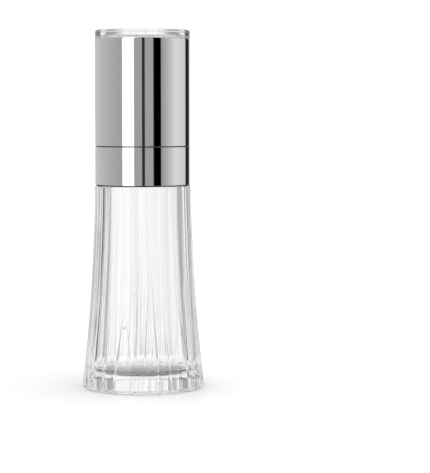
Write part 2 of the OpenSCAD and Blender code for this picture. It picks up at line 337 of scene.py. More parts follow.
def useGroup(tree, group, x, y, **values):
    node = tree.nodes.new("ShaderNodeGroup")
    node.node_tree = group
    node.location = (x, y)
    for key, value in values.items():
        node.inputs[key.replace("_", " ")].default_value = value
    return node


# Spreads a 0 to 1 mask over a (low, high) range of roughness
def varyRoughness(tree, shader, mask, rough):
    tree.links.new(spreadRange(tree, -250, -150, mask, toRange=rough), shader.inputs["Roughness"])


def varyColour(tree, shader, mask, dark, light):
    tree.links.new(mixColours(tree, -250, 150, mask, dark, light), shader.inputs["Base Color"])


def addBump(tree, shader, height, strength, depth):
    bump = addNode(tree, "ShaderNodeBump", -250, -400)
    bump.inputs["Strength"].default_value = strength
    bump.inputs["Distance"].default_value = depth
    tree.links.new(height, bump.inputs["Height"])
    tree.links.new(bump.outputs["Normal"], shader.inputs["Normal"])


# Mirror-polished steel, a little duller where it is handled
def makePolishedSteel():
    look = {"colour": (0.93, 0.93, 0.94), "rough": (0.01, 0.03), "smears": 38.0}
    material, tree, shader = newMaterial("polishedSteel", look["colour"], look["rough"][0], 1.0)
    marks = useGroup(tree, handling, -600, -150, Smear_Scale=look["smears"])
    varyRoughness(tree, shader, marks.outputs["Smears"], look["rough"])
    return material


def makeClearAcrylic():
    look = {"tint": (0.985, 0.992, 0.988), "rough": (0.0, 0.01), "refraction": 1.49, "smears": 30.0}
    material, tree, shader = newMaterial("clearAcrylic", look["tint"], look["rough"][0])
    shader.inputs["Transmission Weight"].default_value = 1.0
    shader.inputs["IOR"].default_value = look["refraction"]
    marks = useGroup(tree, handling, -600, -150, Smear_Scale=look["smears"])
    varyRoughness(tree, shader, marks.outputs["Smears"], look["rough"])
    return material


# Moulded plastic or rubber, with the tool's grain, shinier where it is worn smooth
def makeMoulded(name, look):
    material, tree, shader = newMaterial(name, look["light"], look["rough"][0])
    grain = useGroup(tree, mouldGrain, -600, 0, Grain_Scale=look["grain"])
    varyColour(tree, shader, grain.outputs["Patches"], look["dark"], look["light"])
    varyRoughness(tree, shader, grain.outputs["Patches"], look["rough"])
    addBump(tree, shader, grain.outputs["Height"], look["bump"], 0.1 * mm)
    return material


# Metal with the faint rings of turning
def makeTurnedMetal(name, look):
    material, tree, shader = newMaterial(name, look["light"], look["rough"][0], 1.0)
    rings = useGroup(tree, turnedRings, -600, 0, Ring_Scale=look["rings"])
    varyColour(tree, shader, rings.outputs["Rings"], look["dark"], look["light"])
    varyRoughness(tree, shader, rings.outputs["Rings"], look["rough"])
    addBump(tree, shader, rings.outputs["Height"], 0.12, 0.05 * mm)
    return material


def makeCeramic():
    look = {
        "dark": (0.50, 0.47, 0.41), "light": (0.68, 0.65, 0.59), "rough": (0.38, 0.6),
        "bump": 0.25, "grain": 4000.0, "patches": 220.0,
    }
    material, tree, shader = newMaterial("firedCeramic", look["light"], 0.45)
    grain = useGroup(tree, mouldGrain, -600, 0, Grain_Scale=look["grain"], Patch_Scale=look["patches"])
    varyColour(tree, shader, grain.outputs["Patches"], look["dark"], look["light"])
    varyRoughness(tree, shader, grain.outputs["Patches"], look["rough"])
    addBump(tree, shader, grain.outputs["Height"], look["bump"], 0.08 * mm)
    return material


def makeSilicone():
    look = {"colour": (0.72, 0.74, 0.73), "rough": (0.28, 0.5), "milky": 0.3, "grain": 1800.0}
    material, tree, shader = newMaterial("silicone", look["colour"], 0.35)
    shader.inputs["Subsurface Weight"].default_value = look["milky"]
    shader.inputs["Subsurface Radius"].default_value = (mm, mm, mm)
    grain = useGroup(tree, mouldGrain, -600, 0, Grain_Scale=look["grain"])
    varyRoughness(tree, shader, grain.outputs["Patches"], look["rough"])
    return material


polishedSteel = makePolishedSteel()
clearAcrylic = makeClearAcrylic()
whiteAcetal = makeMoulded("whiteAcetal", {
    "dark": (0.58, 0.58, 0.56), "light": (0.68, 0.68, 0.66), "rough": (0.3, 0.45),
    "bump": 0.08, "grain": 2500.0,
})
blackNylon = makeMoulded("blackNylon", {
    "dark": (0.012, 0.012, 0.013), "light": (0.03, 0.03, 0.032), "rough": (0.38, 0.55),
    "bump": 0.3, "grain": 2500.0,
})
blackAbs = makeMoulded("blackAbs", {
    "dark": (0.015, 0.015, 0.017), "light": (0.035, 0.035, 0.038), "rough": (0.3, 0.48),
    "bump": 0.2, "grain": 2500.0,
})
turnedSteel = makeTurnedMetal("turnedSteel", {
    "dark": (0.48, 0.48, 0.47), "light": (0.66, 0.66, 0.65), "rough": (0.18, 0.34), "rings": 3000.0,
})
springSteel = makeTurnedMetal("springSteel", {
    "dark": (0.28, 0.29, 0.31), "light": (0.48, 0.49, 0.51), "rough": (0.2, 0.36), "rings": 1500.0,
})
turnedBrass = makeTurnedMetal("turnedBrass", {
    "dark": (0.55, 0.38, 0.13), "light": (0.78, 0.58, 0.25), "rough": (0.18, 0.32), "rings": 3000.0,
})
firedCeramic = makeCeramic()
silicone = makeSilicone()
blackRubber = makeMoulded("blackRubber", {
    "dark": (0.01, 0.01, 0.01), "light": (0.022, 0.022, 0.022), "rough": (0.55, 0.75),
    "bump": 0.3, "grain": 1800.0,
})
print("materials built")


# The clear container: its pleated outside, and the round hollow and neck
pleats = {
    "units": 6,
    # Width in degrees, depth of the lancet at the foot, share of the height at which it runs out,
    # and share of the pleat that it takes at the foot
    "cuts": [
        (20, 1.1, 0.45, 0.95),
        (10, 0.5, 0.9, 0.6),
        (15, 0.9, 0.7, 0.95),
        (15, 0.7, 0.36, 0.7),
    ],
    "wallSlope": 0.9,      # width of a lancet's wall over its depth
    "runOut": 1.5,         # how softly a lancet's depth runs out
    "closed": 0.03,        # share of the pleat that a lancet still takes where it runs out
    "least": 0.02,         # narrowest flat left beside a ridge, as a share of the pleat's side
    "flare": 1.7,
    "footRadius": 29.0,
    "fluteTop": 0.14,      # how far a pleat's middle lies in from its ridges
    "fluteFoot": 0.35,
    "fluteCurve": 0.6,
    "footRound": 1.2,
    "cornerFoot": 0.15,    # how far the rounding of a ridge reaches on each side
    "cornerTop": 1.0,
    "shoulder": span("collar_gasket")["low"] - 0.02,
    "shoulderProud": 0.25,  # shoulder radius over the collar ring's
    "shoulderFrom": 0.992,  # share of the height at which the shoulder starts to round over
    "shoulderRound": 0.8,
    "levels": 46,
    "roundSteps": 4,
}
hollow = {
    "neckRadius": 20.6,
    "mouthRadius": 18.4,
    "floor": 7.0,
    "corner": 6.0,
    "sealLevel": (span("neck_seal")["low"] + span("neck_seal")["high"]) / 2,
    "sealWidth": 1.3,
    "sealDepth": 0.85,
    "keyHeight": 5.0,
    "keyDepth": 0.6,
    "keyWidth": 4.0,
    "keySide": 0.25,       # run of a key's sloping side
    "keyCount": 3,
    "puntRadius": 22.0,
    "puntDepth": 1.0,
    "wallSteps": 16,
    "cornerSteps": 8,
}


# Radius over the ridges at a share of the height from the foot to the shoulder
def skirtRadius(share):
    shoulderRadius = collarSpan["r"] + pleats["shoulderProud"]
    return shoulderRadius + (pleats["footRadius"] - shoulderRadius) * (1 - share) ** pleats["flare"]


def onCircle(radius, degrees):
    turn = math.radians(degrees)
    return Vector((radius * math.cos(turn), radius * math.sin(turn)))


# Corners across one pleat from its first ridge on: flat sides down to the middle, and a lancet with
# steep walls and a flat bottom cut into them, which narrows upwards and runs out
def pleatCorners(start, cutting, share, radius):
    width, depth, reach, opening = cutting
    lancet = max(0.0, 1 - share / reach)
    flutedOff = pleats["fluteTop"] - pleats["fluteFoot"]
    flute = pleats["fluteFoot"] + flutedOff * share ** pleats["fluteCurve"]
    ridge = onCircle(radius, start)
    middle = onCircle(radius - flute, start + width / 2)
    nextRidge = onCircle(radius, start + width)
    cut = depth * lancet**pleats["runOut"]
    inward = middle.normalized() * cut
    wall = pleats["wallSlope"] * cut / (ridge - middle).length
    inner = 1 - pleats["closed"] - (opening - pleats["closed"]) * lancet
    outer = max(inner - wall - 0.01, pleats["least"])
    return [
        ridge,
        ridge.lerp(middle, outer),
        ridge.lerp(middle, inner) - inward,
        middle - inward,
        nextRidge.lerp(middle, inner) - inward,
        nextRidge.lerp(middle, outer),
    ]


# Rounds each corner of a closed outline a little and keeps the facets between them flat
def easeCorners(corners, width, hold):
    most = 0.35  # share of a side that one rounding may take
    mostHold = 0.1
    points = []
    for i, here in enumerate(corners):
        before = corners[i - 1] - here
        after = corners[(i + 1) % len(corners)] - here
        back = min(width, before.length * most, after.length * most)
        grip = 1 + min(hold, before.length * mostHold, after.length * mostHold) / back
        start = before.normalized() * back
        stop = after.normalized() * back
        points += [
            here + start * grip,
            here + start,
            here + (start + stop) / 4,
            here + stop,
            here + stop * grip,
        ]
    return points


# The pleated outline at a share of the height, drawn in by a distance where an edge rounds over
def pleatRing(share, drawnIn=0.0, level=None):
    radius = skirtRadius(share) - drawnIn
    z = share * pleats["shoulder"] if level is None else level
    corners = []
    start = 0.0
    for unit in range(pleats["units"]):
        for cutting in pleats["cuts"]:
            corners += pleatCorners(start, cutting, share, radius)
            start += cutting[0]
    corner = pleats["cornerFoot"] + (pleats["cornerTop"] - pleats["cornerFoot"]) * share
    return [(p.x, p.y, z) for p in easeCorners(corners, corner, corner / 3)]


# How far the neck's keys stand out at a turn round the neck, as a share of their depth
def keyShare(radius, turn):
    step = 2 * math.pi / hollow["keyCount"]
    off = abs((turn + step / 2) % step - step / 2) * radius
    return min(1, max(0, (hollow["keyWidth"] / 2 - off) / hollow["keySide"] + 0.5))


# The outside from the middle of the foot to the shoulder
def skirtRings(roundRing):
    top = pleats["shoulder"]
    foot = pleats["footRound"]
    steps = pleats["roundSteps"]
    punt = softOutline([
        (0, hollow["puntDepth"], 0),
        (hollow["puntRadius"] - 0.6, hollow["puntDepth"], 0.5),
        (hollow["puntRadius"], 0.0, 0.3),
        (skirtRadius(0) - 4, 0.0, 0),
    ], steps=2)
    rings = [[(0, 0, hollow["puntDepth"])]]
    rings += [roundRing(r, z) for r, z in punt[1:]]
    for k in range(steps + 1):
        t = k / steps
        inset = foot * (1 - math.sin(t * math.pi / 2))
        level = foot * (1 - math.cos(t * math.pi / 2))
        rings.append(pleatRing(level / top, inset, level))
    for k in range(1, pleats["levels"] + 1):
        share = foot / top + (pleats["shoulderFrom"] - foot / top) * (k / pleats["levels"])
        rings.append(pleatRing(share))
    for k in range(1, steps + 1):
        t = k / steps
        share = pleats["shoulderFrom"] + (1 - pleats["shoulderFrom"]) * math.sin(t * math.pi / 2)
        inset = pleats["shoulderRound"] * (1 - math.cos(t * math.pi / 2))
        rings.append(pleatRing(share, inset))
    return rings


# The neck with its keys and the seal's groove, up to the mouth
def neckRings(roundRing):
    top = pleats["shoulder"]
    neck = hollow["neckRadius"]
    neckTop = containerSpan["high"]
    groove = neck - hollow["sealDepth"]
    sealLow = hollow["sealLevel"] - hollow["sealWidth"] / 2
    sealHigh = hollow["sealLevel"] + hollow["sealWidth"] / 2
    keyTop = top + hollow["keyHeight"]
    outline = softOutline([
        (neck, sealLow - 1, 0),
        (neck, sealLow, 0.15),
        (groove, sealLow, 0.2),
        (groove, sealHigh, 0.2),
        (neck, sealHigh, 0.15),
        (neck, neckTop, 0.5),
        (hollow["mouthRadius"], neckTop, 0.6),
        (hollow["mouthRadius"], neckTop - 4, 0),
    ], steps=3)
    return [
        roundRing(neck + 0.8, top),
        roundRing(neck, top, 1.0),
        roundRing(neck, keyTop - 0.2, 1.0),
        roundRing(neck, keyTop, 0.8),
        roundRing(neck, keyTop + 0.02),
    ] + [roundRing(r, z) for r, z in outline]


# The inside from the neck down to the middle of the floor, at an even wall thickness
def hollowRings(roundRing):
    top = pleats["shoulder"]
    corner = hollow["corner"]
    low = hollow["floor"] + corner
    wall = skirtRadius(1.0) - hollow["mouthRadius"]
    lowRadius = skirtRadius(low / top) - wall
    rings = []
    for k in range(hollow["wallSteps"] + 1):
        z = top + (low - top) * k / hollow["wallSteps"]
        rings.append(roundRing(skirtRadius(z / top) - wall, z))
    for k in range(1, hollow["cornerSteps"] + 1):
        a = -math.pi / 2 * k / hollow["cornerSteps"]
        rings.append(roundRing(lowRadius - corner + corner * math.cos(a), low + corner * math.sin(a)))
    for share in (0.75, 0.5, 0.25):
        rings.append(roundRing((lowRadius - corner) * share, hollow["floor"]))
    rings.append([(0, 0, hollow["floor"])])
    return rings


def buildContainer():
    turns = [math.atan2(y, x) for x, y, z in pleatRing(1.0)]

    # A round ring whose points stand under and over the pleats' own, with the keys stood out by a share
    def roundRing(radius, z, keys=0.0):
        ring = []
        for turn in turns:
            r = radius + keys * hollow["keyDepth"] * keyShare(radius, turn)
            ring.append((r * math.cos(turn), r * math.sin(turn), z))
        return ring

    rings = skirtRings(roundRing) + neckRings(roundRing) + hollowRings(roundRing)
    return addPiece("container_clear", loft("container_clear", rings), clearAcrylic, "container",
                    ["container"], "clear_acrylic", crease=50)


buildContainer()
print("container built")


# The polished tubes round the mechanism, and the ring in the seam between them
steel = {
    "wall": 0.7,
    "lip": 2.1,            # how far the sleeve's top turns in
    "foot": 0.5,           # how far the collar ring's foot turns in behind its wall
    "lipThick": 0.6,
    "bevel": 0.1,
    "topRound": 0.4,
    "slideInner": 18.4,    # inner radius of the ring in the seam
    "segments": 256,
}


def buildSleeve():
    r = sleeveSpan["r"]
    low = sleeveSpan["low"]
    high = sleeveSpan["high"]
    inner = r - steel["wall"]
    outline = softOutline([
        (inner, low, 0.1),
        (r, low, steel["bevel"]),
        (r, high, steel["topRound"]),
        (r - steel["lip"], high, 0.12),
        (r - steel["lip"], high - steel["lipThick"], 0.1),
        (inner, high - steel["lipThick"], 0.1),
    ])
    mesh = spin("head_sleeve_polished", outline, steel["segments"])
    return addPiece("head_sleeve_polished", mesh, polishedSteel, "head", ["head_sleeve"],
                    "polished_steel")


def buildCollar():
    r = collarSpan["r"]
    low = collarSpan["low"]
    high = collarSpan["high"]
    inner = r - steel["wall"]
    outline = softOutline([
        (inner - steel["foot"], low, 0.1),
        (r, low, steel["bevel"]),
        (r, high, steel["bevel"]),
        (inner, high, 0.1),
        (inner, low + steel["lipThick"], 0.1),
        (inner - steel["foot"], low + steel["lipThick"], 0.1),
    ])
    mesh = spin("collar_ring_polished", outline, steel["segments"])
    return addPiece("collar_ring_polished", mesh, polishedSteel, "collar", ["collar_ring"],
                    "polished_steel")


def buildSlideRing():
    place = span("slide_ring")
    outline = softOutline([
        (steel["slideInner"], place["low"], 0.08),
        (place["r"], place["low"], 0.12),
        (place["r"], place["high"], 0.12),
        (steel["slideInner"], place["high"], 0.08),
    ])
    mesh = spin("slide_ring_nylon", outline)
    return addPiece("slide_ring_nylon", mesh, blackNylon, "collar", ["slide_ring"], "black_nylon")


buildSleeve()
buildCollar()
buildSlideRing()
print("steel built")


# The flat lid, whose plug fits in the head's mouth
lidCut = {
    "lift": 0.04,          # gap between the lid's flange and the head's rim
    "plug": 2.6,           # how far the plug lies in from the steel, and the seal's slot below the rim
    "plugWall": 1.5,
    "slot": 0.55,
    "slotHeight": 1.2,
    "recess": 1.4,         # height of the hollow plug's ceiling over the rim
    "edge": 1.0,
}


def buildLid():
    rim = sleeveSpan["high"]
    top = lidSpan["high"]
    plugOut = sleeveSpan["r"] - lidCut["plug"]
    plugIn = plugOut - lidCut["plugWall"]
    slotLow = rim - lidCut["plug"]
    slotIn = plugOut - lidCut["slot"]
    outline = softOutline([
        (0, rim + lidCut["recess"], 0),
        (plugIn, rim + lidCut["recess"], 0.6),
        (plugIn, lidSpan["low"], 0.25),
        (plugOut, lidSpan["low"], 0.3),
        (plugOut, slotLow, 0.1),
        (slotIn, slotLow, 0.15),
        (slotIn, slotLow + lidCut["slotHeight"], 0.15),
        (plugOut, slotLow + lidCut["slotHeight"], 0.1),
        (plugOut, rim + lidCut["lift"], 0.15),
        (lidSpan["r"], rim + lidCut["lift"], 0.5),
        (lidSpan["r"], top, lidCut["edge"]),
        (0, top, 0),
    ])
    mesh = spin("lid_clear", outline, closed=False)
    return addPiece("lid_clear", mesh, clearAcrylic, "lid", ["lid"], "clear_acrylic")


buildLid()
print("lid built")


# Rings for (radius, level) points, where shape(radius, level, turn) gives the radius and level
# at each turn
def shapedRings(outline, shape, segments):
    rings = []
    for r, z in outline:
        ring = []
        for k in range(segments):
            turn = 2 * math.pi * k / segments
            radius, level = shape(r, z, turn)
            ring.append((radius * math.cos(turn), radius * math.sin(turn), level))
        rings.append(ring)
    return rings


# The shape of a plain turned ring
def plain(r, z, turn):
    return r, z


# Radius of a regular polygon in the direction of the turn, with its corners turned off; one of
# them is at turn 0
def polygonRadius(sides, flat, corner, turn):
    step = 2 * math.pi / sides
    return min(flat / math.cos(turn % step - step / 2), corner)


def squareRadius(half, corner, turn):
    return polygonRadius(4, half, corner, turn + math.pi / 4)


def smoothStep(value):
    share = min(1, max(0, value))
    return share * share * (3 - 2 * share)


sealSides = 24


# A round silicone ring that fills its node's height
def buildSeal(node, body):
    place = span(node)
    wire = (place["high"] - place["low"]) / 2
    middle = (place["high"] + place["low"]) / 2
    outline = []
    for k in range(sealSides):
        turn = 2 * math.pi * k / sealSides
        outline.append((place["r"] - wire + wire * math.cos(turn), middle + wire * math.sin(turn)))
    name = node + "_ring"
    return addPiece(name, spin(name, outline), silicone, body, [node], "silicone", crease=60)


def buildGasket():
    place = span("collar_gasket")
    inner = place["r"] - 0.5
    outline = softOutline([
        (inner, place["low"], 0.1),
        (place["r"], place["low"], 0.14),
        (place["r"], place["high"], 0.14),
        (inner, place["high"], 0.1),
    ], 4, 0.02)
    mesh = spin("collar_gasket_rubber", outline)
    return addPiece("collar_gasket_rubber", mesh, blackRubber, "collar", ["collar_gasket"],
                    "black_rubber")


coil = {
    "turns": 6,
    "radius": 4.3,
    "wire": 0.38,
    "flat": 0.09,          # share of the height that each end coil climbs
    "ease": 0.03,          # share of the length over which the climb changes
    "sides": 16,
    "steps": 48,
}


# Share of the spring's height that is climbed at a share of its length; the end coils lie flat
def climb(share):
    end = 1 / coil["turns"]
    if share < end:
        return coil["flat"] * share / end
    if share > 1 - end:
        return 1 - coil["flat"] * (1 - share) / end
    return coil["flat"] + (1 - 2 * coil["flat"]) * (share - end) / (1 - 2 * end)


# The spring's wire as (turn, level) of its middle
def wirePath(low, rise):
    count = coil["turns"] * coil["steps"]
    path = []
    for i in range(count + 1):
        share = i / count
        soft = min(coil["ease"], share, 1 - share)
        height = sum(climb(share + soft * d / 3) for d in range(-3, 4)) / 7
        path.append((2 * math.pi * coil["turns"] * share, low + rise * height))
    return path


def buildSpring():
    place = span("burr_spring")
    low = place["low"] + coil["wire"]
    path = wirePath(low, place["high"] - coil["wire"] - low)
    rings = []
    for turn, z in path:
        ring = []
        for j in range(coil["sides"]):
            side = 2 * math.pi * j / coil["sides"]
            r = coil["radius"] + coil["wire"] * math.cos(side)
            ring.append((r * math.cos(turn), r * math.sin(turn), z + coil["wire"] * math.sin(side)))
        rings.append(ring)
    ends = [[(coil["radius"] * math.cos(turn), coil["radius"] * math.sin(turn), z)]
            for turn, z in (path[0], path[-1])]
    mesh = loft("burr_spring_wire", [ends[0]] + rings + [ends[1]])
    piece = addPiece("burr_spring_wire", mesh, springSteel, None, ["burr_spring"], "spring_steel")
    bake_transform(piece)
    return piece


buildSeal("neck_seal", "container")
buildSeal("lid_seal", "lid")
buildGasket()
buildSpring()


# The square shaft, with a shoulder on the spider and a thread at each end
shaft = {
    "half": 2.2,
    "corner": 2.95,
    "shoulder": 3.8,
    "shoulderHeight": 0.8,
    "groove": 2.5,
    "grooveHeight": 0.7,
    "squareEnd": 0.7,      # how far the square ends under the setting wheel
    "endRadius": 2.6,      # the square's two ends are turned down to this
    "endDrop": 0.4,
    "over": 9,             # any radius beyond the square's corners leaves it as it is
    "thread": 2.0,
    "threadDepth": 0.38,
    "crest": 0.12,         # flat crest and sloping flank, as shares of half the pitch
    "flank": 0.76,
    "pitch": 0.7,
    "chamfer": 0.35,
    "segments": 96,
}


# How deep a thread that climbs by its pitch each turn is cut: 0 at the crest, all at the root
def threadCut(z, turn):
    phase = (z / shaft["pitch"] - turn / (2 * math.pi)) % 1
    fromCrest = abs(phase - 0.5) * 2
    return shaft["threadDepth"] * min(1, max(0, (fromCrest - shaft["crest"]) / shaft["flank"]))


def threadLevels(low, high):
    count = math.ceil((high - low) / (shaft["pitch"] / 10))
    return [low + (high - low) * k / count for k in range(count + 1)]


def buildShaft():
    place = span("grinder_shaft")
    hub = span("shaft_spider")
    squareHigh = span("setting_wheel")["low"] - shaft["squareEnd"]
    grooveHigh = span("spring_stop")["low"]
    grooveLow = grooveHigh - shaft["grooveHeight"]
    shoulderHigh = hub["high"] + shaft["shoulderHeight"]
    over = shaft["over"]

    def threaded(r, z, turn):
        fromEnd = min(z - place["low"], place["high"] - z)
        return min(r - threadCut(z, turn), r - shaft["chamfer"] + fromEnd), z

    def square(r, z, turn):
        return min(squareRadius(shaft["half"], shaft["corner"], turn), r), z

    shoulder = softOutline([
        (shaft["shoulder"] - 1, hub["high"], 0),
        (shaft["shoulder"], hub["high"], 0.12),
        (shaft["shoulder"], shoulderHigh, 0.2),
        (shaft["shoulder"] - 0.8, shoulderHigh, 0),
    ])
    lowThread = [(shaft["thread"], z) for z in threadLevels(place["low"], hub["low"])]
    highThread = [(shaft["thread"], z) for z in threadLevels(squareHigh, place["high"])]
    throughSpider = [
        (shaft["endRadius"], hub["low"]),
        (over, hub["low"] + shaft["endDrop"]),
        (over, hub["high"]),
    ]
    overSpider = [
        (over, shoulderHigh),
        (over, grooveLow),
        (shaft["groove"], grooveLow),
        (shaft["groove"], grooveHigh),
        (over, grooveHigh),
        (over, squareHigh - shaft["endDrop"]),
        (shaft["endRadius"], squareHigh),
    ]
    rings = [[(0, 0, place["low"])]]
    for outline, shape in [(lowThread, threaded), (throughSpider, square), (shoulder, plain),
                           (overSpider, square), (highThread, threaded)]:
        rings += shapedRings(outline, shape, shaft["segments"])
    rings.append([(0, 0, place["high"])])
    return addPiece("grinder_shaft_turned", loft("grinder_shaft_turned", rings), turnedSteel, "collar",
                    ["grinder_shaft"], "stainless_steel")


nut = {
    "flat": 3.47,
    "corner": 4.0,
    "face": 3.62,          # radius of the turned faces
    "faceIn": 3.32,
    "faceDrop": 0.3,
    "fit": 0.06,
    "chamfer": 0.35,
}


# Hexagon nut with turned faces, and a threaded hole with a small gap all round the shaft's thread
def buildNut(node, body, material, slot):
    place = span(node)
    low = place["low"]
    high = place["high"]

    def hexagon(r, z, turn):
        return min(polygonRadius(6, nut["flat"], nut["corner"], turn), r), z

    def hole(r, z, turn):
        fromFace = min(z - low, high - z)
        return max(r - threadCut(z, turn), r + 0.1 + nut["chamfer"] * 0.5 - fromFace), z

    outside = [
        (nut["faceIn"], low),
        (nut["face"], low),
        (nut["corner"], low + nut["faceDrop"]),
        (nut["corner"], high - nut["faceDrop"]),
        (nut["face"], high),
        (nut["faceIn"], high),
    ]
    inside = [(shaft["thread"] + nut["fit"], z) for z in reversed(threadLevels(low, high))]
    rings = shapedRings(outside, hexagon, shaft["segments"])
    rings += shapedRings(inside, hole, shaft["segments"])
    name = node + "_hexagon"
    return addPiece(name, loft(name, rings, True), material, body, [node], slot)


buildShaft()
buildNut("shaft_nut", "collar", turnedSteel, "stainless_steel")
buildNut("setting_nut", "adjuster", turnedBrass, "brass")
print("shaft, nuts, seals and spring built")


# The two burrs; one tooth is given by share of its pitch, and share of its depth
toothShape = [(0.0, 1.0), (0.2, 0.1), (0.24, 0.0), (0.31, 0.0), (0.62, 0.45), (0.93, 0.94)]
innerBurr = {
    "teeth": 20,
    "tooth": 0.4,
    "twist": 34,
    "lowRadius": 6.9,
    "highRadius": 12.3,
    "bore": 5.0,
    "wall": 0.7,           # least ceramic left between a groove and the bore
    "rim": 10.6,           # inner edge of the teeth on the top face
    "blades": 5,           # deep spiral grooves that draw the peppercorns in
    "bladeDepth": 1.15,
    "bladeTwist": 100,
    "bladeReach": 0.62,    # share of the height at which they run out
    "bladeStart": 0.55,    # share of their depth that they have at the bottom
    "levels": 40,
}
outerBurr = {
    "teeth": 24,
    "coarseRadius": 12.1,
    "coarseTooth": 0.9,
    "coarseTwist": -16,
    "fineTooth": 0.35,
    "fineTwist": -8,
    "fineHeight": 5.0,
    "change": 0.8,         # height over which the coarse teeth give way to the fine ones
    "gap": 0.45,
    "faceIn": 14.2,
    "bevel": 0.3,
    "levels": 36,
}


def noCut(turn):
    return 0


# One ring of teeth: cut(turn) is taken off a radius, and the columns follow the teeth by the twist
def toothRing(radius, tooth, teeth, twist, z, cut=noCut):
    ring = []
    for i in range(teeth):
        for pitchShare, depthShare in toothShape:
            turn = 2 * math.pi * (i + pitchShare) / teeth + math.radians(twist)
            r = radius - tooth * depthShare - cut(turn)
            ring.append((r * math.cos(turn), r * math.sin(turn), z))
    return ring


# Radius over the inner burr's teeth at a level
def coneRadius(z):
    place = span("inner_burr")
    share = (z - place["low"]) / (place["high"] - place["low"])
    return innerBurr["lowRadius"] + (innerBurr["highRadius"] - innerBurr["lowRadius"]) * share


def buildInnerBurr():
    place = span("inner_burr")
    teeth = innerBurr["teeth"]
    start = innerBurr["bladeStart"]
    rings = []
    for k in range(innerBurr["levels"] + 1):
        share = k / innerBurr["levels"]
        z = place["low"] + (place["high"] - place["low"]) * share
        left = smoothStep(1 - share / innerBurr["bladeReach"])
        left *= start + (1 - start) * min(1, share * 4)
        room = coneRadius(z) - innerBurr["tooth"] - innerBurr["bore"] - innerBurr["wall"]
        deep = min(innerBurr["bladeDepth"], room) * left

        def blade(turn, deep=deep, share=share):
            wave = (turn - math.radians(innerBurr["bladeTwist"]) * share) * innerBurr["blades"]
            return deep * (0.5 - 0.5 * math.cos(wave)) ** 1.5

        twist = innerBurr["twist"] * share
        rings.append(toothRing(coneRadius(z), innerBurr["tooth"], teeth, twist, z, blade))
    rings += [
        toothRing(innerBurr["rim"], 0, teeth, innerBurr["twist"], place["high"]),
        toothRing(innerBurr["bore"], 0, teeth, innerBurr["twist"], place["high"]),
        toothRing(innerBurr["bore"], 0, teeth, 0, place["low"]),
    ]
    return addPiece("inner_burr_cone", loft("inner_burr_cone", rings, True), firedCeramic, "rotor",
                    ["inner_burr"], "ceramic", crease=24)


def buildOuterBurr():
    place = span("outer_burr")
    teeth = outerBurr["teeth"]
    fineLow = place["high"] - outerBurr["fineHeight"]
    fineRadius = coneRadius(fineLow) + outerBurr["gap"]
    topRadius = coneRadius(place["high"]) + outerBurr["gap"]
    bevel = outerBurr["bevel"]
    twistAll = outerBurr["coarseTwist"] + outerBurr["fineTwist"]
    rings = []
    for k in range(outerBurr["levels"] + 1):
        z = place["low"] + (place["high"] - place["low"]) * k / outerBurr["levels"]
        coarse = min(1, (z - place["low"]) / (fineLow - place["low"]))
        fine = max(0, (z - fineLow) / outerBurr["fineHeight"])
        if fine > 0:
            radius = fineRadius + (topRadius - fineRadius) * fine
        else:
            radius = outerBurr["coarseRadius"] + (fineRadius - outerBurr["coarseRadius"]) * coarse
        step = smoothStep((z - fineLow) / outerBurr["change"] + 0.5)
        tooth = outerBurr["coarseTooth"] + (outerBurr["fineTooth"] - outerBurr["coarseTooth"]) * step
        twist = outerBurr["coarseTwist"] * coarse + outerBurr["fineTwist"] * fine
        rings.append(toothRing(radius, -tooth, teeth, twist, z))
    for r, z, twist in [
        (outerBurr["faceIn"], place["high"], twistAll),
        (place["r"] - bevel, place["high"], twistAll),
        (place["r"], place["high"] - bevel, twistAll),
        (place["r"], place["low"] + bevel, 0),
        (place["r"] - bevel, place["low"], 0),
        (outerBurr["faceIn"], place["low"], 0),
    ]:
        rings.append(toothRing(r, 0, teeth, twist, z))
    return addPiece("outer_burr_ring", loft("outer_burr_ring", rings, True), firedCeramic, "head",
                    ["outer_burr"], "ceramic", crease=24)


buildInnerBurr()
buildOuterBurr()
print("burrs built")


# What shows in the mouth when the lid is off: the setting wheel, the retainer and its screws
wheel = {
    "lift": 0.02,          # clear of the hub's top face, so that the two never flicker
    "grips": 16,
    "gripDepth": 0.65,
    "gripIn": 7.6,         # where the grips' notches start to show on the top face
    "gripFade": 0.8,
    "bore": 2.3,
    "seat": 1.0,           # floor under the nut
    "pocket": 3.53,        # across the flats, halved
    "pocketCorner": 4.06,
    "dish": 0.3,           # depth of the hollow in the top, from dishIn to dishOut
    "dishIn": 4.8,
    "dishOut": 7.9,
    "dishEdge": 0.35,
    "dotRadius": 6.5,
    "dots": [(0, 0.7), (27, 0.6), (52, 0.51), (75, 0.43), (96, 0.36), (115, 0.3)],  # degrees, radius
    "dotDepth": 0.28,
    "dotEdge": 0.18,
    "faceOut": 8.35,       # the top face's outermost ring, and the step and number of the rings inward
    "faceStep": 0.1,
    "faceRings": 39,
    "segments": 384,
}


# How deep a grip's notch is at a turn round the wheel
def gripCut(turn):
    return wheel["gripDepth"] * (0.5 + 0.5 * math.cos(wheel["grips"] * turn)) ** 1.8


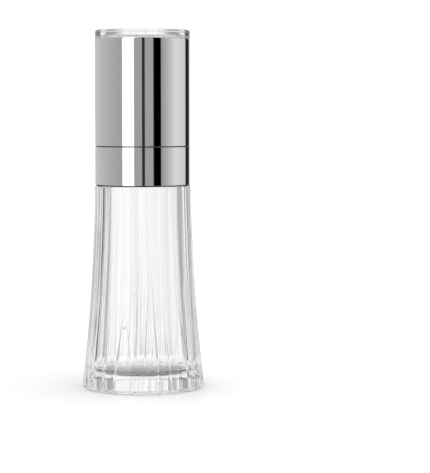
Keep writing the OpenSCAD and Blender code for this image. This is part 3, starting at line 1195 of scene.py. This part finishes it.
def buildWheel():
    place = span("setting_wheel")
    low = place["low"] + wheel["lift"]
    high = place["high"]
    r = place["r"]

    def grip(radius, z, turn):
        return radius - gripCut(turn), z

    def top(radius, z, turn):
        sink = wheel["dish"] * smoothStep((wheel["dishOut"] - radius) / wheel["dishEdge"])
        sink *= smoothStep((radius - wheel["dishIn"]) / wheel["dishEdge"])
        for degrees, size in wheel["dots"]:
            away = (onCircle(radius, math.degrees(turn)) - onCircle(wheel["dotRadius"], degrees)).length
            sink += wheel["dotDepth"] * smoothStep((size - away) / wheel["dotEdge"] + 0.5)
        share = smoothStep((radius - wheel["gripIn"]) / wheel["gripFade"])
        return radius - gripCut(turn) * share, z - sink

    def pocket(radius, z, turn):
        return max(polygonRadius(6, wheel["pocket"], wheel["pocketCorner"], turn) + radius, 0.1), z

    bore = [(wheel["bore"], low + wheel["seat"]), (wheel["bore"], low)]
    side = softOutline([(7, low, 0), (r, low, 0.35), (r, high, 0.5), (8.3, high, 0)])[1:-1]
    face = [(wheel["faceOut"] - wheel["faceStep"] * k, high) for k in range(wheel["faceRings"])]
    nutSeat = [(0.2, high), (0.06, high - 0.05), (0, high - 0.2), (0, low + wheel["seat"])]
    rings = []
    for outline, shape in [(bore, plain), (side, grip), (face, top), (nutSeat, pocket)]:
        rings += shapedRings(outline, shape, wheel["segments"])
    return addPiece("setting_wheel_grip", loft("setting_wheel_grip", rings, True), blackNylon,
                    "adjuster", ["setting_wheel"], "black_nylon", crease=35)


retainer = {
    "inner": 13.4,
    "seatIn": 15,          # radius where the outlines of the outside and the inside meet
    "faceIn": 15.4,        # inner end of the detailed part of the top face
    "faceEdge": 0.35,
    "faceRings": 32,
    "bossAt": 18.95,
    "sink": 0.3,
    "sinkRadius": 1.8,
    "grooveAt": 16.2,
    "grooveDepth": 0.25,
    "grooveWidth": 1.2,    # from its middle to its edge, as a share of the run of its side
    "edge": 0.3,           # run of the sloping side of a sink or of the groove
    "segments": 480,
}
screw = {
    "head": 1.35,
    "headHeight": 1.0,
    "dome": 0.86,          # share of the head's radius that is domed
    "domeRise": 0.25,
    "domeRings": 19,
    "shank": 0.68,
    "tip": 0.35,
    "length": 6.0,
    "cross": 0.2,
    "crossReach": 0.85,
    "crossDepth": 0.5,
    "crossSide": 0.1,      # run of the recess's sloping sides and ends
    "crossEnd": 0.3,
    "crossTurn": 0.4,
    "count": 3,
    "start": 30,
    "segments": 96,
}


def screwPlaces():
    step = 360 / screw["count"]
    return [onCircle(retainer["bossAt"], screw["start"] + step * k) for k in range(screw["count"])]


def buildRetainer():
    place = span("burr_retainer")
    low = place["low"]
    high = place["high"]
    r = place["r"]
    inner = retainer["inner"]
    seatIn = retainer["seatIn"]
    edge = r - retainer["faceEdge"]
    steps = retainer["faceRings"]

    def top(radius, z, turn):
        point = onCircle(radius, math.degrees(turn))
        near = min((point - spot).length for spot in screwPlaces())
        off = abs(radius - retainer["grooveAt"])
        sink = retainer["sink"] * smoothStep((retainer["sinkRadius"] - near) / retainer["edge"])
        groove = retainer["grooveDepth"] * smoothStep(retainer["grooveWidth"] - off / retainer["edge"])
        return radius, z - max(sink, groove)

    outside = softOutline([(seatIn, low, 0), (r, low, 0.1), (r, high, 0.2), (edge, high, 0)])[1:-1]
    face = [(edge - (edge - retainer["faceIn"]) * k / steps, high) for k in range(steps + 1)]
    inside = softOutline([
        (seatIn, high, 0),
        (inner, high, 0.35),
        (inner, low + 0.5, 0.1),
        (inner + 0.5, low, 0.1),
        (seatIn, low, 0),
    ])[1:-1]
    rings = []
    for outline, shape in [(outside, plain), (face, top), (inside, plain)]:
        rings += shapedRings(outline, shape, retainer["segments"])
    return addPiece("burr_retainer_ring", loft("burr_retainer_ring", rings, True), blackNylon, "head",
                    ["burr_retainer"], "black_nylon")


# One pan-head screw with a cross recess, on the mill's axis
def makeScrew(high):
    low = high - screw["headHeight"] - screw["length"]
    base = high - screw["headHeight"] - retainer["sink"]

    def recess(radius, z, turn):
        x = abs(radius * math.cos(turn + screw["crossTurn"]))
        y = abs(radius * math.sin(turn + screw["crossTurn"]))
        across = smoothStep((screw["cross"] - min(x, y)) / screw["crossSide"] + 0.5)
        along = smoothStep((screw["crossReach"] - max(x, y)) / screw["crossEnd"])
        return radius, z - screw["crossDepth"] * (across * along)

    side = [
        (screw["tip"], low),
        (screw["shank"], low + 0.5),
        (screw["shank"], base),
        (screw["head"] - 0.1, base),
        (screw["head"], base + 0.1),
        (screw["head"], high - 0.5),
        (screw["head"] * 0.96, high - 0.36),
    ]
    dome = []
    for k in range(screw["domeRings"]):
        share = 1 - k / screw["domeRings"]
        dome.append((screw["head"] * screw["dome"] * share, high - screw["domeRise"] * share**2.5))
    rings = [[(0, 0, low)]]
    rings += shapedRings(side, plain, screw["segments"])
    rings += shapedRings(dome, recess, screw["segments"])
    rings.append([(0, 0, high - screw["crossDepth"])])
    return loft("screw", rings)


def buildScrews():
    group = bmesh.new()
    for spot in screwPlaces():
        mesh = makeScrew(span("retainer_screws")["high"])
        mesh.transform(Matrix.Translation((spot.x * mm, spot.y * mm, 0)))
        group.from_mesh(mesh)
        bpy.data.meshes.remove(mesh)
    mesh = bpy.data.meshes.new("retainer_screws_cross")
    group.to_mesh(mesh)
    group.free()
    return addPiece("retainer_screws_cross", mesh, turnedSteel, "head", ["retainer_screws"],
                    "stainless_steel")


buildWheel()
buildRetainer()
buildScrews()
print("wheel, retainer and screws built")


easing = {"flatSeam": 0.5, "sharpFrom": 35, "segments": 2}  # degrees, degrees, rows of faces


# Copies a node's solid, takes out its flat seams and rounds every sharp edge by the width
def breakEdges(node, material, slot, body, width):
    name = node + "_eased"
    work = bmesh.new()
    work.from_mesh(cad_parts[node].data)
    bmesh.ops.remove_doubles(work, verts=work.verts, dist=1e-6)
    bmesh.ops.dissolve_limit(
        work,
        angle_limit=math.radians(easing["flatSeam"]),
        verts=work.verts,
        edges=work.edges,
    )
    mesh = bpy.data.meshes.new(name)
    work.to_mesh(mesh)
    work.free()
    piece = addPiece(name, mesh, material, body, [node], slot)
    rounding = piece.modifiers.new("rounding", "BEVEL")
    rounding.width = width * mm
    rounding.segments = easing["segments"]
    rounding.limit_method = "ANGLE"
    rounding.angle_limit = math.radians(easing["sharpFrom"])
    rounding.use_clamp_overlap = True
    rounding.harden_normals = False
    return piece


easedPieces = [
    ("collar_core", whiteAcetal, "white_acetal", "collar", 0.15),
    ("head_circlip", springSteel, "spring_steel", "collar", 0.1),
    ("stop_clip", springSteel, "spring_steel", "collar", 0.08),
    ("spring_stop", turnedSteel, "stainless_steel", "collar", 0.08),
    ("thrust_washer", turnedSteel, "stainless_steel", "rotor", 0.08),
    ("burr_hub", blackNylon, "black_nylon", "rotor", 0.2),
]
for node, material, slot, body, width in easedPieces:
    breakEdges(node, material, slot, body, width)
# These two keep the frame's own mesh
for node, material in {"shaft_spider": whiteAcetal, "head_liner": blackAbs}.items():
    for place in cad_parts[node].material_slots:
        place.material = material
print("edges broken on", len(easedPieces), "pieces")


# The studio, in metres and degrees
studio = {
    "cameraDistance": 0.862,
    "cameraHeight": 0.1325,
    "lens": 138.9,
    "tiltDown": 4.06,
    "turnRight": 2.26,
    "standRadius": 0.08,   # the middle of the floor, the only part that the clear parts show
    "floorRadius": 1.2,
    "floorDrop": 0.00005,  # the floor lies this far under the foot, so that the two never flicker
    "floorSides": 128,
    "standShade": 0.74,
    "floorShade": 0.95,
    "glow": 1.25,          # brightness of the white surround
    "flagEdge": 0.3,       # height, as the sine of the angle, from which the flags fade out
    "flagFade": 0.2,
    "steepGlow": 0.82,     # brightness seen through the clear parts beyond the flags
    "calmAfter": 7,        # bounces after which the surround is plain, so the clear parts stay clean
    "lampHeight": 1.1,
    "lampSize": 0.9,
    "lampPower": 6,
}

# Share of the white surround that is left in each direction, for what is seen through the clear
# parts: dark flags with clear gaps between them, in degrees from the front to either side
flags = [
    (0, 0.9), (14, 0.9), (20, 0.1), (34, 0.1), (40, 0.85), (48, 0.85), (54, 0.05), (76, 0.05),
    (82, 0.85), (98, 0.85), (104, 0.05), (126, 0.05), (132, 0.9), (138, 0.9), (144, 0.35),
    (156, 0.35), (164, 0.95), (180, 1.0),
]

# Uneven white of the surround behind the clear parts
streaks = {"scale": 5.0, "low": 0.42, "high": 0.58, "grey": 0.9, "white": 1.12}

# Brightness that the steel mirrors, in degrees from the front: minus is left, plus is right
bands = [
    (-180, 0.64), (-50, 0.36), (-49.5, 1.6), (-21.5, 1.6), (-21, 0.36), (-2, 0.36), (-1.5, 0.03),
    (4.5, 0.03), (5, 0.36), (25, 0.36), (25.5, 0.0), (44.5, 0.0), (45, 0.31), (60, 0.45),
    (85, 0.72), (124, 0.62), (125, 0.02), (148, 0.02), (150, 0.85), (180, 0.85),
]


def makeFloor(name, shade):
    look = {"rough": (0.25, 0.35), "gloss": 0.15, "grain": 400.0, "patches": 6.0}
    material, tree, shader = newMaterial(name, (shade, shade, shade), 0.3)
    shader.inputs["Specular IOR Level"].default_value = look["gloss"]
    grain = useGroup(tree, mouldGrain, -600, 0, Grain_Scale=look["grain"], Patch_Scale=look["patches"])
    varyRoughness(tree, shader, grain.outputs["Patches"], look["rough"])
    return material


# A white floor in two parts, of which the clear parts show only the inner one and the steel neither
def addFloor():
    count = studio["floorSides"]
    turns = [2 * math.pi * k / count for k in range(count)]
    inner, outer = [[(r * math.cos(a), r * math.sin(a), 0) for a in turns]
                    for r in (studio["standRadius"], studio["floorRadius"])]
    around = [[k, count + k, count + (k + 1) % count, (k + 1) % count] for k in range(count)]
    parts = [
        ("stand", inner, [list(range(count))], studio["standShade"]),
        ("floor", inner + outer, around, studio["floorShade"]),
    ]
    for name, points, faces, shade in parts:
        mesh = bpy.data.meshes.new(name)
        mesh.from_pydata(points, [], faces)
        mesh.materials.append(makeFloor(name + "White", shade))
        piece = bpy.data.objects.new(name, mesh)
        piece.location.z = -studio["floorDrop"]
        piece.visible_transmission = name == "stand"
        piece.visible_glossy = False
        bpy.context.scene.collection.objects.link(piece)


# Grey by turn: the share is 0 to 1 all round with the front at 0.5, and the table is in degrees
def greyByTurn(tree, x, y, share, table):
    ramp = addNode(tree, "ShaderNodeValToRGB", x, y)
    tree.links.new(share, ramp.inputs["Fac"])
    stops = ramp.color_ramp.elements
    while len(stops) > 1:
        stops.remove(stops[0])
    for i, (degrees, value) in enumerate(table):
        stop = stops[0] if i == 0 else stops.new((degrees + 180) / 360)
        stop.position = (degrees + 180) / 360
        stop.color = (value, value, value, 1)
    return ramp.outputs["Color"]


# How bright the surround is behind the clear parts: level flags that fade out above and below, on
# an uneven white
def flaggedSurround(tree, direction, height, turn):
    fromFront = calculate(tree, -620, -250, "SUBTRACT", turn, 0.5)
    eitherSide = calculate(tree, -540, -250, "ABSOLUTE", fromFront)
    backHalf = calculate(tree, -460, -250, "ADD", eitherSide, 0.5)
    flagged = greyByTurn(tree, -450, -300, backHalf, flags)
    steepness = calculate(tree, -800, -250, "ABSOLUTE", height)
    fade = (studio["flagEdge"], studio["flagEdge"] + studio["flagFade"])
    steep = spreadRange(tree, -450, -150, steepness, fade)
    faded = mixColours(tree, -250, -250, steep, flagged, (studio["steepGlow"],) * 3)
    level = addNode(tree, "ShaderNodeVectorMath", -1100, -500, operation="MULTIPLY")
    level.inputs[1].default_value = (1, 1, 0)
    circle = addNode(tree, "ShaderNodeVectorMath", -950, -500, operation="NORMALIZE")
    cloth = addNode(tree, "ShaderNodeTexNoise", -800, -500, Scale=streaks["scale"], Detail=2.0)
    folds = spreadRange(tree, -600, -500, cloth.outputs["Fac"], (streaks["low"], streaks["high"]),
                        (streaks["grey"], streaks["white"]))
    through = addNode(tree, "ShaderNodeVectorMath", -50, -400, operation="SCALE")
    connect(
        tree,
        (direction, level.inputs[0]),
        (level.outputs["Vector"], circle.inputs[0]),
        (circle.outputs["Vector"], cloth.inputs["Vector"]),
        (faded, through.inputs[0]),
        (folds, through.inputs["Scale"]),
    )
    return through.outputs["Vector"]


# A white surround that lights the mill, the bands that its steel mirrors and the flags that its
# clear parts show; all three stand still when the camera moves
def addWorld():
    world = bpy.data.worlds.new("studio")
    bpy.context.scene.world = world
    world.use_nodes = True
    tree = world.node_tree
    place = addNode(tree, "ShaderNodeTexCoord", -1300, 0)
    direction = place.outputs["Generated"]
    split = addNode(tree, "ShaderNodeSeparateXYZ", -1100, 0)
    tree.links.new(direction, split.inputs[0])
    forward = calculate(tree, -950, -100, "MULTIPLY", split.outputs["Y"], -1)
    angle = calculate(tree, -800, 0, "ARCTAN2", split.outputs["X"], forward)
    turn = spreadRange(tree, -650, 0, angle, (-math.pi, math.pi))
    path = addNode(tree, "ShaderNodeLightPath", -450, 400)
    mirrored = greyByTurn(tree, -450, 0, turn, bands)
    glossy = mixColours(tree, -100, 0, path.outputs["Is Glossy Ray"], (studio["glow"],) * 3, mirrored)
    through = flaggedSurround(tree, direction, split.outputs["Z"], turn)
    clear = mixColours(tree, 100, 0, path.outputs["Is Transmission Ray"], glossy, through)
    deep = calculate(tree, -100, 400, "GREATER_THAN", path.outputs["Ray Depth"], studio["calmAfter"])
    calm = mixColours(tree, 300, 0, deep, clear, (1, 1, 1))
    tree.links.new(calm, tree.nodes["Background"].inputs["Color"])
    return world


def addCamera():
    data = bpy.data.cameras.new("studioCamera")
    data.lens = studio["lens"]
    data.clip_start = 0.01
    data.clip_end = 20
    camera = bpy.data.objects.new("studioCamera", data)
    camera.location = (0, -studio["cameraDistance"], studio["cameraHeight"])
    tilt = math.radians(90 - studio["tiltDown"])
    camera.rotation_euler = (tilt, 0, math.radians(-studio["turnRight"]))
    bpy.context.scene.collection.objects.link(camera)
    bpy.context.scene.camera = camera
    return camera


# One soft square lamp over the mill, which isn't mirrored itself
def addLamp():
    data = bpy.data.lights.new("overhead", "AREA")
    data.shape = "SQUARE"
    data.size = studio["lampSize"]
    data.energy = studio["lampPower"]
    lamp = bpy.data.objects.new("overhead", data)
    lamp.location = (0, 0, studio["lampHeight"])
    lamp.visible_glossy = False
    lamp.visible_transmission = False
    bpy.context.scene.collection.objects.link(lamp)
    return lamp


addFloor()
addWorld()
addCamera()
addLamp()

# Enough bounces for light to pass through every clear wall
scene = bpy.context.scene
scene.view_settings.view_transform = "Standard"
scene.cycles.max_bounces = 32
scene.cycles.transmission_bounces = 24
scene.cycles.glossy_bounces = 12
scene.cycles.transparent_max_bounces = 16
print("studio set")
